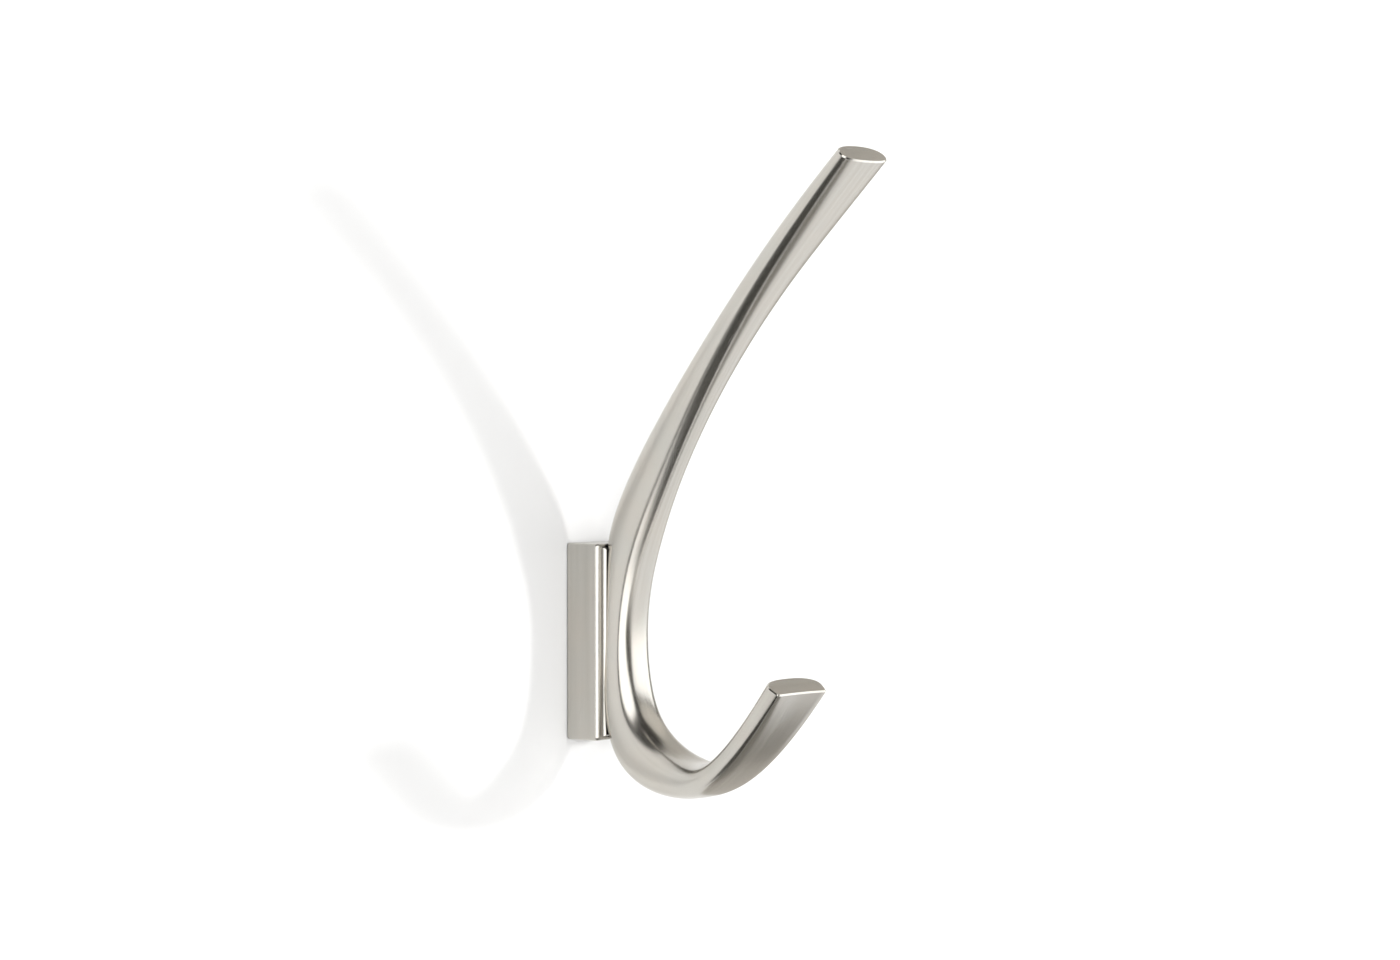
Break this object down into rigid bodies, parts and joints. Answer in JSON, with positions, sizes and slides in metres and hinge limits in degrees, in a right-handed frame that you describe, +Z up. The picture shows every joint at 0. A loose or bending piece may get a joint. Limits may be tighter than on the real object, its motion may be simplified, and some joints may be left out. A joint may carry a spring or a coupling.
{
  "type": "wall coat hook",
  "caption": "Wall-mounted coat and hat hook: a J-shaped satin-nickel bar with a long upper and a short lower prong on a slim rectangular block, fixed from inside.",
  "frame": {"origin": "middle of the block's back, on the wall plane", "axes": "+Z up, +Y into the wall (the room is towards -Y), +X to the right of someone facing the wall; x = 0 is the plane of symmetry"},
  "size_m": [0.02, 0.0803, 0.1489],
  "materials": {
    "satin_nickel": "satin nickel plate over cast zinc, fine grain along the bar",
    "zinc_plated_steel": "bright zinc plate",
    "black_steel": "black oxide, slightly oiled"
  },
  "bodies": {
    "root": {"hook_bar": "satin_nickel", "mounting_block": "satin_nickel", "wall_bracket": "zinc_plated_steel", "bar_screws": "zinc_plated_steel", "bar_lock_washers": "zinc_plated_steel", "grub_screw": "black_steel"}
  },
  "joints": []
}
